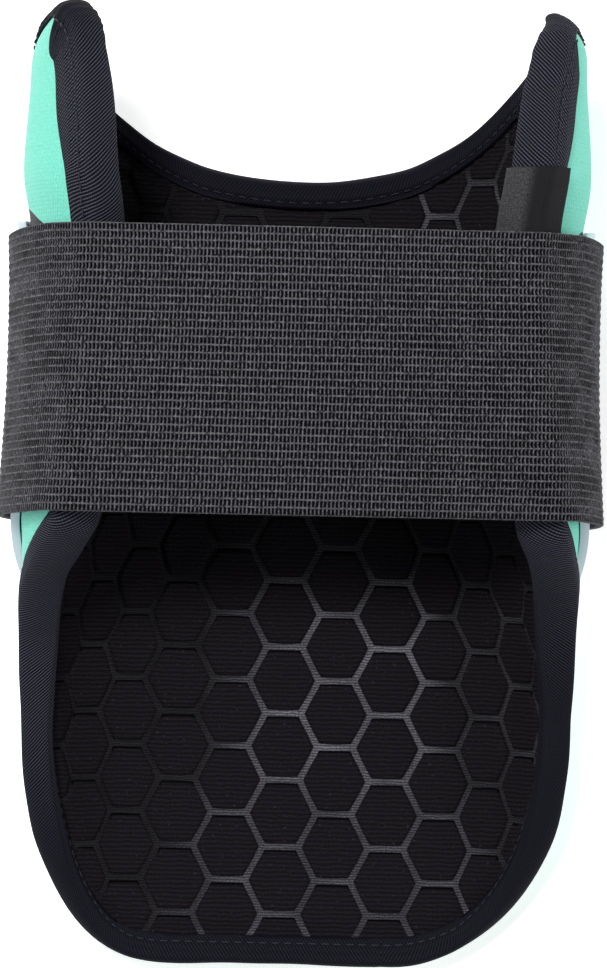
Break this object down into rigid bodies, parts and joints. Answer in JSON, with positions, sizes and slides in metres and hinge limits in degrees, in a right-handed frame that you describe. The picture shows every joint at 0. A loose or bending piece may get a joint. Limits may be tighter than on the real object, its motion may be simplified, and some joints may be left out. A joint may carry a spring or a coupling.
{
  "type": "batter's elbow guard",
  "caption": "Batter's elbow guard lying on its pale outer plate, mint cover, dark bound edge, black hexagon-padded lining and a wide charcoal elastic strap.",
  "frame": {"origin": "On the resting surface, under the middle of the guard's outline", "axes": "+Y runs along the arm to the winged end, +Z from the outer plate to the strap, +X to the side with the label"},
  "size_m": [0.1371, 0.2188, 0.0808],
  "materials": {
    "mint_mesh": "mint green knitted mesh, matte",
    "black_tricot": "black brushed tricot over foam pads, with grey grooves",
    "navy_twill": "dark navy twill tape, stitched",
    "pale_plastic": "pale lavender-white moulded plastic, satin",
    "charcoal_elastic": "charcoal woven elastic webbing",
    "black_hook": "black hook-and-loop tape",
    "woven_label": "dark grey woven label, blank"
  },
  "bodies": {
    "root": {"cover": "mint_mesh", "liner": "black_tricot", "edge_binding": "navy_twill", "outer_plate": "pale_plastic", "strap": "charcoal_elastic", "hook_tab": "black_hook", "label_tab": "woven_label"}
  },
  "joints": []
}
